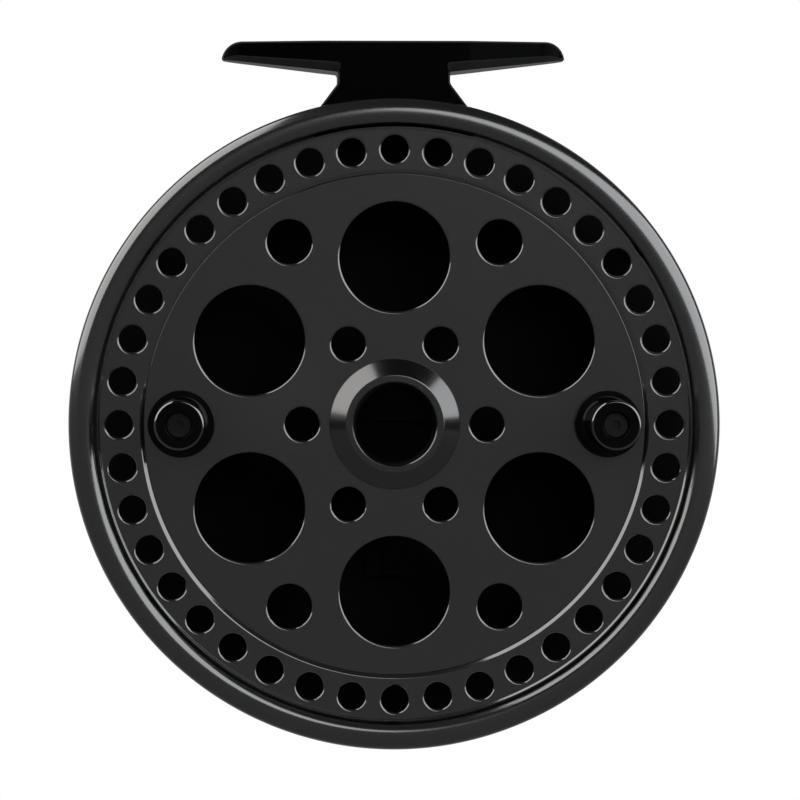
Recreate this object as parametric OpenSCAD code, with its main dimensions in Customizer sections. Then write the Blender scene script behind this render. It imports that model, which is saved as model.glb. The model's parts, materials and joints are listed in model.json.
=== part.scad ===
// Centrepin fishing reel: a perforated spool turns on two ball bearings inside a full frame,
// with two winding handles in front, and a click check and a drag at the back.
// Millimetres, +Z up. The origin is the centre of the foot's flat rod face, the spool's axis runs
// along Y below it, and the handles face -Y.

/* [Frame] */
// Outside diameter of the frame's rim
rim_d = 114.3; // [95:0.1:138]
// Radial width of the rim and of the front ring's rounded bead
rim_w = 4.5; // [3.7:0.05:5.4]
// Depth from the back plate's rear face to the front ring's crest
frame_depth = 26; // [21.5:0.5:32]
// Depth of the front ring
ring_depth = 4.4; // [3.6:0.1:5.3]
// Thickness of the back plate
plate_t = 2.4; // [2:0.1:2.9]
// Diameter of the frame pillars
pillar_d = 4; // [3.3:0.1:4.2]

/* [Foot] */
// Length of the reel foot
foot_len = 61.1; // [51:0.1:73.4]
// Width of the reel foot across the rod
foot_w = 14; // [11.6:0.1:16.8]
// Height of the foot's rod face above the rim
foot_rise = 10.35; // [8.6:0.05:12.45]
// Width of the foot's stem along the rod
stem_len = 19.8; // [16.5:0.1:23.8]

/* [Spool] */
// Radial gap between the spool and the frame
spool_gap = 0.55; // [0.4:0.05:0.7]
// Radial width of the perforated flange
flange_w = 8.1; // [7.6:0.1:9.8]
// Thickness of the front flange and of the face plate
face_t = 2.2; // [1.9:0.1:2.7]
// How far the face plate lies below the perforated flange
step_h = 0.8; // [0.6:0.05:1]
// Number of holes round the flange
ring_holes = 40; // [36:4:40]
// Radius of the holes round the flange
ring_hole_r = 2.4; // [1.9:0.05:2.6]

/* [Hub] */
// Diameter of the spindle
spindle_d = 6; // [5:0.1:7.2]
// Width of each ball bearing
bearing_w = 4; // [3.3:0.1:4.4]
// Number of balls in each bearing
ball_count = 8; // [6:1:9]
// Height of the hub bezel above the face plate
bezel_h = 2.4; // [2:0.1:2.9]

/* [Handles] */
// Radius of a handle knob at its base
knob_r = 5.87; // [4.9:0.05:6.4]
// Length of a handle knob
knob_len = 20; // [16.5:0.5:24]

/* [Check and drag] */
// Teeth on the click gear
gear_teeth = 25; // [21:2:27]
// Travel of the check slide, from off to on
check_travel = 1.6; // [1.3:0.05:1.7]
// Diameter of the drag knob
drag_knob_d = 11; // [9:0.1:13.2]

/* [Hidden] */
$fn = 96;
// Clearances: a seated fit, a running fit, and room between moving faces
fit = 0.03;
running = 0.05;
clear = 0.3;
eps = 0.5;
// Edge break on the spool's holes
edge = 0.37;

// Radii, from the rim inwards
rim_r = rim_d / 2;
rim_in = rim_r - rim_w;
rim_mid = rim_r - rim_w / 2;
bead_r = rim_w / 2;
spool_r = rim_in - spool_gap;
face_r = spool_r - flange_w;
drum_r = face_r + 1.6;
ledge_r = face_r - 3;
track_r = face_r - 4.5;
ring_at = face_r + flange_w * 0.52;
big_at = face_r * 0.667;
big_r = face_r * 0.2186;
mid_at = face_r * 0.8385;
mid_r = face_r * 0.088;

// Radii, from the spindle outwards
spindle_r = spindle_d / 2;
shoulder_r = spindle_r + 1;
bearing_r = spindle_r * 2;
ball_at = spindle_r * 1.5;
ball_r = spindle_r * 0.31;
recess_r = bearing_r + 1.27;
nose_r = recess_r + 1.03;
land_r = recess_r + 1.31;
bezel_r = land_r + 2.86;
hub_r = bearing_r + 2;
hub_flange_r = bezel_r + 0.96;
hub_end_r = bearing_r + 3.6;
gear_r = hub_end_r + 1.4;
gear_root = gear_r - 1.4;
small_r = 2.95;
small_at = hub_flange_r + 0.5 + small_r + edge;
handle_nut_r = 2.9;
handle_at = min(face_r - knob_r - 0.73, ledge_r - handle_nut_r - 0.3);

// Levels along the spool's axis, front positive
z_front = frame_depth / 2;
z_back = -z_front;
z_plate = z_back + plate_t;
z_win = z_front - ring_depth;
z_rim_face = z_front - 1;
z_disc = z_rim_face - step_h;
z_web = z_disc - face_t;
rear_flange_t = 1.6;
z_rear = z_plate + 0.8;
gear_t = 1.6;
z_gear = z_plate + 2.4;
z_hub = z_gear + gear_t;
z_rear_race = z_hub + 0.4;
hub_flange_t = 2.2;
z_front_race = z_web - 1.2 - bearing_w;
clip_t = 0.7;
z_clip = z_front_race + bearing_w;
z_recess = z_clip + clip_t + 0.6;

// Foot, with its rod face at height 0
axis_drop = rim_r + foot_rise;
saddle_flat = rim_r - 1.55;
saddle_half = 15.5;
foot_base = saddle_flat - axis_drop;
base_w = min(foot_w, 2 * z_win - 1);
wing_t = 5.4;
tip_t = 3.05;
nose_arc = 4.5;
flare_w = 3.3;
flare_h = 4.4;
screw_pitch = stem_len * 0.66;

// Frame pillars, by angle from the handles' line
pillar_angles = [35, 145, 215, 270, 325];
saddle_angles = [80, 100];
spigot_r = 1.2;
spigot_l = 2;
back_edge = 0.6;
frame_head_r = bead_r - back_edge - 0.05;
frame_screw_r = frame_head_r - 0.6;
pillar_r = min(pillar_d / 2, bead_r - 0.15);

// Check and drag
pawl_len = 8;
pawl_at = gear_r + 0.4 + pawl_len;
slide_w = 9;
slide_l = 13;
slide_t = 1.6;
stem_w = 3.6;
stem_l = 5;
pawl_post_r = 1.5;
drag_at = face_r - 2;
drag_travel = 0.25;
shoe_r = 3;
shoe_t = 1.8;
z_shoe = z_rear - clear - shoe_t;

// Handles
washer_t = 0.4;
post_r = 1.8;
stud_r = 1.4;
tip_recess = 2.4;
knob_tip_r = knob_r * 0.735;
knob_waist_r = knob_r * 0.64;
knob_foot_r = knob_r * 0.8;
knob_flange_t = 1.2;
knob_neck = knob_len * 0.35;
knob_z = z_disc + washer_t + 0.1;
z_post = knob_z + knob_len - tip_recess + 0.15;

// ---- Shared shapes ----

// Turns the reel's own frame (z out of the front, y up) into the part's frame
module place() {
    translate([0, 0, -axis_drop]) rotate([90, 0, 0]) children();
}

// Repeats its children at a radius, at each of a list of angles
module around(angles, radius) {
    for (a = angles) rotate(a) translate([radius, 0, 0]) children();
}

function steps(count, first) = [for (i = [0 : count - 1]) first + i * 360 / count];

module tube(outer, inner, z0, z1) {
    translate([0, 0, z0]) difference() {
        cylinder(r = outer, h = z1 - z0);
        translate([0, 0, -eps]) cylinder(r = inner, h = z1 - z0 + 2 * eps);
    }
}

module rod(radius, z0, z1) {
    translate([0, 0, z0]) cylinder(r = radius, h = z1 - z0);
}

// A through hole with its front edge broken
module broken_hole(radius, z0, z1) {
    rod(radius, z0 - eps, z1 + eps);
    translate([0, 0, z1 - edge]) cylinder(r1 = radius, r2 = radius + edge + eps, h = edge + eps);
}

// A countersunk screw: head flush at height 0, shank pointing up
module flush_screw(shank_r, head_r, length) {
    head_h = head_r - shank_r;
    difference() {
        union() {
            cylinder(r1 = head_r, r2 = shank_r, h = head_h);
            cylinder(r = shank_r, h = length);
        }
        translate([0, 0, -eps]) cylinder(r = shank_r * 0.8, h = head_h * 0.7 + eps, $fn = 6);
    }
}

// The hole that a countersunk screw sits in
module flush_hole(shank_r, head_r, length) {
    head_h = head_r - shank_r;
    translate([0, 0, -eps]) cylinder(r = head_r, h = eps);
    cylinder(r1 = head_r, r2 = shank_r, h = head_h);
    cylinder(r = shank_r + fit, h = length);
}

// A pan-head screw: head below height 0, shank pointing up
module pan_screw(shank_r, head_r, head_h, length) {
    difference() {
        union() {
            translate([0, 0, -head_h]) cylinder(r = head_r, h = head_h);
            cylinder(r = shank_r, h = length);
        }
        translate([0, 0, -head_h - eps]) cylinder(r = shank_r * 0.8, h = head_h * 0.6 + eps, $fn = 6);
    }
}

// ---- Frame ----

module frame_screw_places() {
    around(pillar_angles, rim_mid) children();
    around(saddle_angles, rim_mid) children();
}

module frame_screw_cut() {
    translate([0, 0, z_back]) flush_hole(frame_screw_r, frame_head_r, 12);
}

module back_plate() {
    color("#202122") place() difference() {
        union() {
            rod(rim_r, z_back + back_edge, z_plate);
            translate([0, 0, z_back]) cylinder(r1 = rim_r - back_edge, r2 = rim_r, h = back_edge);
            tube(rim_r, rim_in, z_plate - eps, -z_win);
            translate([0, 0, z_back - 1]) cylinder(r1 = hub_end_r, r2 = hub_end_r + 1, h = 1 + eps);
        }
        rod(spindle_r + fit, z_back - 2, z_plate + eps);
        frame_screw_places() frame_screw_cut();
        translate([0, drag_at, 0]) {
            rod(shoe_r + running, z_back - eps, z_plate + eps);
            rod(shoe_r + 1, z_back - eps, z_back + 1);
        }
        translate([0, -pawl_at - 1 + check_travel / 2, z_back - eps])
            linear_extrude(plate_t + 2 * eps)
                square([stem_w + 2 * running, stem_l + check_travel + 2 * clear], center = true);
    }
}

module front_ring() {
    color("#2a2b2c") place() difference() {
        rotate_extrude() {
            translate([rim_in, z_win]) square([rim_w, ring_depth - bead_r]);
            translate([rim_mid, z_front - bead_r]) intersection() {
                circle(r = bead_r);
                translate([-bead_r, 0]) square([rim_w, bead_r]);
            }
        }
        frame_screw_places() rod(spigot_r + fit, z_win - eps, z_win + spigot_l + fit);
    }
}

module pillars() {
    color("#1c1d1e") place() around(pillar_angles, rim_mid) difference() {
        union() {
            rod(pillar_r, -z_win, z_win);
            rod(spigot_r, z_win - eps, z_win + spigot_l);
        }
        rod(frame_screw_r + fit, -z_win - eps, z_back + 12 + fit);
    }
}

module frame_screws() {
    color("#3a3b3c") place() frame_screw_places() translate([0, 0, z_back])
        flush_screw(frame_screw_r, frame_head_r, 10);
}

// The bar that closes the frame at the top and carries the foot on its flat
module saddle() {
    color("#1c1d1e") place() difference() {
        union() {
            intersection() {
                tube(rim_r, rim_in, -z_win, z_win);
                translate([0, 0, -z_win]) linear_extrude(2 * z_win) polygon([
                    [0, 0], [-rim_d * sin(saddle_half), rim_d * cos(saddle_half)],
                    [rim_d * sin(saddle_half), rim_d * cos(saddle_half)]]);
                translate([-rim_r, 0, -z_win]) cube([rim_d, saddle_flat, 2 * z_win]);
            }
            around(saddle_angles, rim_mid) rod(spigot_r, z_win - eps, z_win + spigot_l);
        }
        around(saddle_angles, rim_mid) rod(frame_screw_r + fit, -z_win - eps, z_back + 12 + fit);
        foot_screw_places() {
            flush_hole(1.5, 2.6, 8);
            translate([0, 0, -3]) cylinder(r = 2.6, h = 3);
        }
    }
}

// The foot's screws come up through the saddle from inside the frame
module foot_screw_places() {
    for (x = [-1, 1]) translate([x * screw_pitch / 2, rim_in, 0]) rotate([-90, 0, 0]) children();
}

module foot_screws() {
    color("#3a3b3c") place() foot_screw_places() flush_screw(1.5, 2.6, 7);
}

// Stands an outline drawn in the side view (length, height) up across the foot
module across_foot(width) {
    rotate([90, 0, 0]) linear_extrude(width, center = true) children();
}

// Two wings that thin towards their rounded ends
module foot_wings() {
    half = foot_len / 2;
    arc_at = half - sqrt(pow(nose_arc, 2) - pow(nose_arc - tip_t, 2));
    difference() {
        union() {
            across_foot(foot_w) translate([-arc_at, -wing_t]) square([2 * arc_at, wing_t]);
            for (s = [-1, 1]) across_foot(foot_w)
                translate([s * arc_at, -nose_arc]) circle(r = nose_arc);
        }
        for (s = [-1, 1]) across_foot(foot_w + 2) polygon([
            [s * stem_len / 2, -wing_t], [s * (half + 1), -tip_t], [s * (half + 1), -2 * wing_t],
            [s * stem_len / 2, -2 * wing_t]]);
    }
}

// The stem flares to its base, which lies flat on the saddle
module foot_stem() {
    across_foot(base_w) polygon([
        [-stem_len / 2, -wing_t / 2], [stem_len / 2, -wing_t / 2],
        [stem_len / 2, foot_base + flare_h], [stem_len / 2 + flare_w, foot_base],
        [-stem_len / 2 - flare_w, foot_base], [-stem_len / 2, foot_base + flare_h]]);
}

// Plan of the foot: the wings taper to rounded ends
module foot_plan() {
    wide = stem_len / 2 + flare_w;
    end_r = foot_w * 0.32;
    at = foot_len / 2 - end_r;
    linear_extrude(1 - foot_base) polygon([
        [-wide, -foot_w / 2], [wide, -foot_w / 2], [at, -end_r], [at, end_r],
        [wide, foot_w / 2], [-wide, foot_w / 2], [-at, end_r], [-at, -end_r]]);
    for (s = [-1, 1]) translate([s * at, 0, 0]) cylinder(r = end_r, h = 1 - foot_base);
}

module reel_foot() {
    color("#0d0d0e") difference() {
        intersection() {
            union() {
                foot_wings();
                foot_stem();
            }
            translate([0, 0, foot_base]) foot_plan();
        }
        place() foot_screw_places() rod(1.5 + fit, 0, 7 + fit);
    }
}

// ---- Spindle and what stays still with it ----

module spindle() {
    color("#9a9c9e") place() {
        rod(spindle_r, z_back - 4.6, z_plate);
        rod(spindle_r + 4.5, z_plate, z_plate + 1.6);
        rod(shoulder_r, z_plate + 1.6, z_rear_race);
        rod(spindle_r - fit, z_rear_race, z_clip);
        rod(spindle_r * 0.8, z_clip, z_clip + 2.1);
    }
}

module spindle_washer() {
    color("#8b8d8f") place() tube(spindle_r + 2.6, spindle_r + fit, z_back - 1.6, z_back - 1);
}

module spindle_nut() {
    color("#77797b") place() translate([0, 0, z_back - 4.2]) difference() {
        cylinder(r = spindle_r + 2.4, h = 2.6, $fn = 6);
        translate([0, 0, -eps]) cylinder(r = spindle_r + fit, h = 4);
    }
}

// A race is a ring with a ball groove
module race(outer, inner, z0) {
    translate([0, 0, z0]) rotate_extrude() difference() {
        translate([inner, 0]) square([outer - inner, bearing_w]);
        translate([ball_at, bearing_w / 2]) circle(r = ball_r + running);
    }
}

inner_race_out = ball_at - ball_r * 0.55;
outer_race_in = ball_at + ball_r * 0.55;

module front_inner_race() {
    color("#b5b7b9") place() race(inner_race_out, spindle_r, z_front_race);
}

module rear_inner_race() {
    color("#b5b7b9") place() race(inner_race_out, spindle_r, z_rear_race);
}

module front_outer_race() {
    color("#b5b7b9") place() race(bearing_r, outer_race_in, z_front_race);
}

module rear_outer_race() {
    color("#b5b7b9") place() race(bearing_r, outer_race_in, z_rear_race);
}

module balls(z0) {
    around(steps(ball_count, 0), ball_at) translate([0, 0, z0 + bearing_w / 2]) sphere(r = ball_r);
}

// The cage is a thin ring with a bored pocket for each ball
module cage(z0) {
    gap = ball_r * 0.55 - 0.12;
    rail = ball_r + 0.35;
    difference() {
        tube(ball_at + gap, ball_at - gap, z0 + bearing_w / 2 - rail, z0 + bearing_w / 2 + rail);
        around(steps(ball_count, 0), ball_at) translate([-1, 0, z0 + bearing_w / 2])
            rotate([0, 90, 0]) cylinder(r = ball_r + running, h = 2);
    }
}

module front_balls() {
    color("#d0d2d4") place() balls(z_front_race);
}

module rear_balls() {
    color("#d0d2d4") place() balls(z_rear_race);
}

module front_cage() {
    color("#a98b4a") place() cage(z_front_race);
}

module rear_cage() {
    color("#a98b4a") place() cage(z_rear_race);
}

// The sleeve that holds the inner races apart
module bearing_spacer() {
    color("#9a9c9e") place() tube(inner_race_out, spindle_r, z_rear_race + bearing_w, z_front_race);
}

// ---- Spool ----

module spool_drum() {
    color("#2b2c2d") place() difference() {
        rotate_extrude() difference() {
            union() {
                translate([face_r, z_rear]) square([drum_r - face_r, z_rim_face - z_rear]);
                translate([face_r, z_rim_face - face_t]) square([flange_w, face_t]);
                translate([track_r, z_rear]) square([spool_r - track_r, rear_flange_t]);
                translate([ledge_r, z_web - hub_flange_t]) square([drum_r - ledge_r, hub_flange_t]);
            }
            translate([face_r, z_disc]) polygon([[0, 0], [step_h + eps, step_h + eps], [0, step_h + eps]]);
        }
        around(steps(ring_holes, 0), ring_at)
            broken_hole(ring_hole_r, z_rim_face - face_t, z_rim_face);
        face_screw_places() rod(0.8 + fit, -eps, hub_flange_t + eps);
    }
}

module spool_face() {
    color("#2c2d2e") place() difference() {
        rod(face_r - fit, z_web, z_disc);
        rod(nose_r + fit, z_web - eps, z_disc + eps);
        around(steps(6, 30), big_at) broken_hole(big_r, z_web, z_disc);
        around([60, 120, 240, 300], mid_at) broken_hole(mid_r, z_web, z_disc);
        around(steps(6, 0), small_at) broken_hole(small_r, z_web, z_disc);
        around([0, 180], handle_at) rod(stud_r + fit, z_web - eps, z_disc + eps);
        face_screw_places() rod(0.8 + fit, 0, hub_flange_t + 1.7 + fit);
        hub_screw_places() rod(0.8 + fit, 0, hub_flange_t + 1.7 + fit);
    }
}

module face_screw_places() {
    around(steps(6, 15), face_r - 1.6) translate([0, 0, z_web - hub_flange_t]) children();
}

module face_screws() {
    color("#3a3b3c") place() face_screw_places() pan_screw(0.8, 1.4, 1, hub_flange_t + 1.6);
}

module spool_hub() {
    color("#1b1c1d") place() difference() {
        union() {
            rod(hub_r, z_hub, z_web);
            rod(hub_end_r, z_hub, z_hub + 2.6);
            rod(hub_flange_r, z_web - hub_flange_t, z_web);
            rod(nose_r, z_web, z_disc + bezel_h - 1);
        }
        rod(bearing_r, z_hub - eps, z_rear_race + bearing_w);
        rod(bearing_r - 0.8, z_hub, z_front_race + eps);
        rod(bearing_r, z_front_race, z_recess + eps);
        rod(bearing_r + 0.45, z_clip, z_clip + clip_t);
        rod(recess_r, z_recess, z_front + 4);
        hub_screw_places() rod(0.8 + fit, -eps, hub_flange_t + eps);
        gear_screw_places() rod(0.8 + fit, 0, gear_t + 3);
    }
}

module hub_screw_places() {
    around(steps(6, 30), (hub_r + hub_flange_r) / 2 + 0.2)
        translate([0, 0, z_web - hub_flange_t]) children();
}

module hub_screws() {
    color("#3a3b3c") place() hub_screw_places() pan_screw(0.8, 1.4, 1, hub_flange_t + 1.6);
}

// The bright ring round the hub's nose
module hub_bezel() {
    top = z_disc + bezel_h;
    color("#55575a") place() rotate_extrude() polygon([
        [nose_r + fit, z_disc], [bezel_r, z_disc], [bezel_r, z_disc + 0.25], [land_r, top],
        [recess_r + 0.2, top], [recess_r, top - 0.2], [recess_r, top - 1], [nose_r + fit, top - 1]]);
}

// An open spring ring that keeps the front bearing in the hub
module bearing_clip() {
    color("#6b6d70") place() difference() {
        tube(bearing_r + 0.42, bearing_r - 0.8, z_clip, z_clip + clip_t - fit);
        translate([0, -1.1, z_clip - eps]) cube([bearing_r + 2, 2.2, clip_t + 2 * eps]);
    }
}

// Screws on the spindle's nose and keeps the spool on
module retaining_cap() {
    head = z_recess + 0.2;
    color("#0a0a0a") place() difference() {
        union() {
            rod(inner_race_out - 0.1, z_clip, head);
            rod(recess_r - 0.6, head, head + 1.5);
        }
        rod(spindle_r * 0.8 + running, z_clip - eps, z_clip + 2.1 + 0.05);
        translate([-recess_r, -0.6, head + 0.9]) cube([2 * recess_r, 1.2, 1]);
    }
}

// A tooth is a narrow flat top with two straight flanks, and a gap faces the pawl at rest
module click_gear() {
    pitch = 360 / gear_teeth;
    tip = 0.07 * pitch;
    root = 0.36 * pitch;
    outline = [for (i = [0 : gear_teeth - 1]) for (p = [
        [gear_root, -root], [gear_r, -tip], [gear_r, tip], [gear_root, root]])
            let (a = (i + 0.5) * pitch + p[1] - 90) p[0] * [cos(a), sin(a)]];
    color("#b08d3c") place() difference() {
        translate([0, 0, z_gear]) linear_extrude(gear_t) polygon(outline);
        rod(bearing_r, z_gear - eps, z_hub + eps);
        gear_screw_places() flush_hole(0.8, 1.4, gear_t + eps);
    }
}

module gear_screw_places() {
    around(steps(3, 30), bearing_r + 1.9) translate([0, 0, z_gear]) children();
}

module gear_screws() {
    color("#3a3b3c") place() gear_screw_places() flush_screw(0.8, 1.4, gear_t + 2.6);
}

// ---- Handles ----

module handle_places() {
    around([0, 180], handle_at) children();
}

module handle_posts() {
    color("#a0a2a4") place() handle_places() difference() {
        union() {
            rod(stud_r, z_web - 1.9, z_disc);
            rod(post_r, z_disc, z_post);
        }
        rod(0.9 + fit, z_post - 5, z_post + eps);
    }
}

module handle_nuts() {
    color("#77797b") place() handle_places() translate([0, 0, z_web - 1.7]) difference() {
        cylinder(r = handle_nut_r, h = 1.7, $fn = 6);
        translate([0, 0, -eps]) cylinder(r = stud_r + fit, h = 3);
    }
}

module handle_washers() {
    color("#2a2a2a") place() handle_places() tube(post_r + 2, post_r + fit, z_disc, z_disc + washer_t);
}

module handle_screws() {
    color("#151515") place() handle_places() translate([0, 0, z_post]) difference() {
        union() {
            cylinder(r = 2.05, h = 1);
            translate([0, 0, -4.8]) cylinder(r = 0.9, h = 5);
        }
        translate([0, 0, 0.4]) cylinder(r = 0.9, h = 1, $fn = 6);
    }
}

// A waisted knob: a flat flange at its base, a hollow curve up to its waist, a rounded end, and
// a hollow there for its screw
module knob(side) {
    end = knob_z + knob_len;
    shoulder = 1.4;
    curve = [for (t = [0 : 10 : 90]) [
        knob_foot_r - (knob_foot_r - knob_waist_r) * sin(t),
        knob_neck - (knob_neck - knob_flange_t) * cos(t)]];
    color("#0b0b0b") place() translate([side * handle_at, 0, 0]) difference() {
        union() {
            translate([0, 0, knob_z]) rotate_extrude() polygon(concat(
                [[0, 0], [knob_r, 0], [knob_r, knob_flange_t]], curve,
                [[knob_tip_r, knob_len - shoulder], [0, knob_len - shoulder]]));
            translate([0, 0, end - shoulder]) rotate_extrude() {
                square([knob_tip_r - shoulder, shoulder]);
                intersection() {
                    translate([knob_tip_r - shoulder, 0]) circle(r = shoulder);
                    square([knob_tip_r, shoulder]);
                }
            }
        }
        rod(post_r + running, knob_z - eps, end);
        rod(2.3, end - tip_recess, end + eps);
    }
}

module left_knob() {
    knob(-1);
}

module right_knob() {
    knob(1);
}

// ---- Click check ----

module at_pawl() {
    translate([0, -pawl_at, 0]) children();
}

module check_button() {
    color("#151617") place() at_pawl() {
        translate([0, -1, z_back - 2.3]) difference() {
            linear_extrude(2) {
                translate([0, 1.6]) circle(r = 4.2);
                translate([0, -1.6]) circle(r = 4.2);
                square([8.4, 3.2], center = true);
            }
            for (y = [-3 : 1.5 : 3]) translate([-3, y - 0.3, -eps]) cube([6, 0.6, eps + 0.4]);
        }
        difference() {
            translate([-stem_w / 2, -1 - stem_l / 2, z_back - 0.4]) cube([stem_w, stem_l, plate_t + 0.5]);
            translate([0, -1, 0]) rod(0.8 + fit, z_plate - 1.7, z_plate + eps);
        }
    }
}

module check_slide() {
    color("#1a1b1c") place() at_pawl() difference() {
        translate([-slide_w / 2, -slide_l * 0.64, z_plate + 0.1]) cube([slide_w, slide_l, slide_t]);
        rod(pawl_post_r * 0.7 + fit, z_plate, z_plate + slide_t / 2 + 0.1);
        translate([0, -1, 0]) {
            rod(0.8 + fit, z_plate, z_plate + slide_t + eps);
            translate([0, 0, z_plate + 0.1 + slide_t - 0.6]) cylinder(r1 = 0.8, r2 = 1.4, h = 0.6);
        }
        spring_base(0.3 + fit);
    }
}

module slide_screw() {
    color("#3a3b3c") place() at_pawl() translate([0, -1, z_plate + 0.1 + slide_t])
        mirror([0, 0, 1]) flush_screw(0.8, 1.4, slide_t + 1.5);
}

module pawl_post() {
    color("#1a1b1c") place() at_pawl() rod(pawl_post_r, z_plate + 0.1 + slide_t, z_hub + 1.2);
}

module pawl_clip() {
    color("#1a1b1c") place() at_pawl() difference() {
        tube(pawl_post_r + 0.9, pawl_post_r, z_hub + clear, z_hub + clear + 0.4);
        translate([-0.9, 0, z_hub]) cube([1.8, 4, 1]);
    }
}

module check_pawl() {
    color("#1c1c1c") place() at_pawl() translate([0, 0, z_gear]) difference() {
        union() {
            cylinder(r = pawl_post_r + 1.2, h = gear_t);
            linear_extrude(gear_t) polygon([
                [-1.1, pawl_len - 1.4], [0, pawl_len], [1.1, pawl_len - 1.4], [1.9, 0],
                [0.8, -5], [-0.8, -5], [-1.9, 0]]);
        }
        translate([0, 0, -eps]) cylinder(r = pawl_post_r + running, h = gear_t + 2 * eps);
    }
}

module spring_base(half_t) {
    translate([-1.5, -7.4 - half_t, z_plate + 0.6]) cube([3, 2 * half_t, slide_t]);
}

// A bent leaf that holds the pawl's tail from both sides
module pawl_spring() {
    z0 = z_gear + 0.2;
    color("#1f2021") place() at_pawl() {
        spring_base(0.3);
        translate([-1.5, -7.7, z0 - 0.6]) cube([3, 0.6, 1.6]);
        for (s = [-1, 1]) translate([s * 1.2 - 0.15, -7.7, z0]) cube([0.3, 3.7, 1]);
    }
}

// ---- Drag ----

module drag_bush() {
    color("#8b8d8f") place() translate([0, drag_at, 0]) difference() {
        union() {
            rod(shoe_r + 2.2, z_back - 1.6, z_back);
            rod(shoe_r + 1 - fit, z_back - eps, z_back + 1);
        }
        rod(1.6 + running, z_back - 2, z_back + 2);
    }
}

module drag_shoe() {
    color("#1a1817") place() translate([0, drag_at, 0]) rod(shoe_r, z_shoe, z_shoe + shoe_t);
}

module drag_knob() {
    knob_front = z_back - 1.6 - drag_travel - running;
    color("#151617") place() translate([0, drag_at, 0]) {
        rod(1.6, knob_front - eps, z_shoe);
        translate([0, 0, knob_front - 5.5]) difference() {
            union() {
                cylinder(r1 = drag_knob_d / 2 - 0.6, r2 = drag_knob_d / 2, h = 0.6);
                translate([0, 0, 0.6]) cylinder(r = drag_knob_d / 2, h = 4.9);
            }
            around(steps(20, 0), drag_knob_d / 2 + 0.5)
                translate([0, 0, -eps]) cylinder(r = 0.9, h = 7);
        }
    }
}

back_plate();
front_ring();
pillars();
frame_screws();
saddle();
reel_foot();
foot_screws();
spindle();
spindle_washer();
spindle_nut();
front_inner_race();
rear_inner_race();
bearing_spacer();
drag_bush();
spool_drum();
spool_face();
face_screws();
spool_hub();
hub_screws();
hub_bezel();
front_outer_race();
rear_outer_race();
bearing_clip();
click_gear();
gear_screws();
handle_posts();
handle_nuts();
handle_washers();
handle_screws();
left_knob();
right_knob();
retaining_cap();
front_cage();
front_balls();
rear_cage();
rear_balls();
check_button();
check_slide();
slide_screw();
pawl_post();
pawl_clip();
pawl_spring();
check_pawl();
drag_shoe();
drag_knob();
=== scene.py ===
"""Centrepin fishing reel: turned shells, foot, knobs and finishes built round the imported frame."""

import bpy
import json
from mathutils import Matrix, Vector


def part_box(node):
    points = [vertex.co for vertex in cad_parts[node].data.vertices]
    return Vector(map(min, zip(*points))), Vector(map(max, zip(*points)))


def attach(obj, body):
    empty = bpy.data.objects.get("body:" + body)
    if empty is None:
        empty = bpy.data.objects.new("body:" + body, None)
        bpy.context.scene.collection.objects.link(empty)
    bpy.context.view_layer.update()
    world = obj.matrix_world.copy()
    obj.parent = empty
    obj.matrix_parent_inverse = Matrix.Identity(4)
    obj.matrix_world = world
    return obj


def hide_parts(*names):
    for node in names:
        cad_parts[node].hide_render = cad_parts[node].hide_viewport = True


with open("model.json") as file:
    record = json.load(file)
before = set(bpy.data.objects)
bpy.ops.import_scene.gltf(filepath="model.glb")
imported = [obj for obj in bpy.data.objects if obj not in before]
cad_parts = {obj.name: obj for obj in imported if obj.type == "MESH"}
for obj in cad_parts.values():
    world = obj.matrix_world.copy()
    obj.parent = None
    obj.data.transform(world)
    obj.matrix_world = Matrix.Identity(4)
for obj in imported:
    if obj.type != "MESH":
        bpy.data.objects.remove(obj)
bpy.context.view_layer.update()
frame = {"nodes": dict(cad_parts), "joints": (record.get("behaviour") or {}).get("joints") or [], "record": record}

import json
import math

import bpy
import numpy as np
from mathutils import Matrix, Vector
from mathutils.geometry import delaunay_2d_cdt

bl_info = {
    "name": "Centrepin reel",
    "version": (1, 0, 0),
    "blender": (4, 5, 0),
    "location": "3D View > Sidebar > Reel",
    "description": "Shells, foot, knobs and finishes of a centrepin fishing reel",
    "category": "Object",
}

MM = 0.001
AXIS_Z = next(j for j in frame["joints"] if j["name"] == "spool_spin")["pos_m"][2]


def extent(node):
    """Lowest and highest (x, up, out) of a CAD node in the reel's own frame, in millimetres."""
    low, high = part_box(node)
    return (
        np.array([low.x, low.z - AXIS_Z, -high.y]) / MM,
        np.array([high.x, high.z - AXIS_Z, -low.y]) / MM,
    )


RING_LOW, RING_HIGH = extent("front_ring")
DRUM_LOW, DRUM_HIGH = extent("spool_drum")
FACE_LOW, FACE_HIGH = extent("spool_face")
BEZEL_LOW, BEZEL_HIGH = extent("hub_bezel")
KNOB_LOW, KNOB_HIGH = extent("right_knob")
FOOT_LOW, FOOT_HIGH = extent("reel_foot")
PLATE_LOW, PLATE_HIGH = extent("back_plate")
DRAG_LOW, DRAG_HIGH = extent("drag_knob")
# Half of the stem's width, and how far the foot flares at its base, in millimetres
FOOT_STEM, FOOT_FLARE = 9.9, 3.3
# From the bezel's bore to the hub hole that it fits, in millimetres
BEZEL_WALL = 1.06
# Radius of an edge that is only just broken, in millimetres
BREAK = 0.05


# ---- Sizes and colours a user would change ----


def length(name, description, millimetres):
    """A length property, given in millimetres and kept in metres."""
    return bpy.props.FloatProperty(
        name=name, description=description, default=millimetres * MM, unit="LENGTH", precision=5
    )


def colour(name, description, code):
    """A colour property from an sRGB hex value."""
    return bpy.props.FloatVectorProperty(
        name=name, description=description, default=linear(code)[:3], subtype="COLOR",
        size=3, min=0, max=1,
    )


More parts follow.
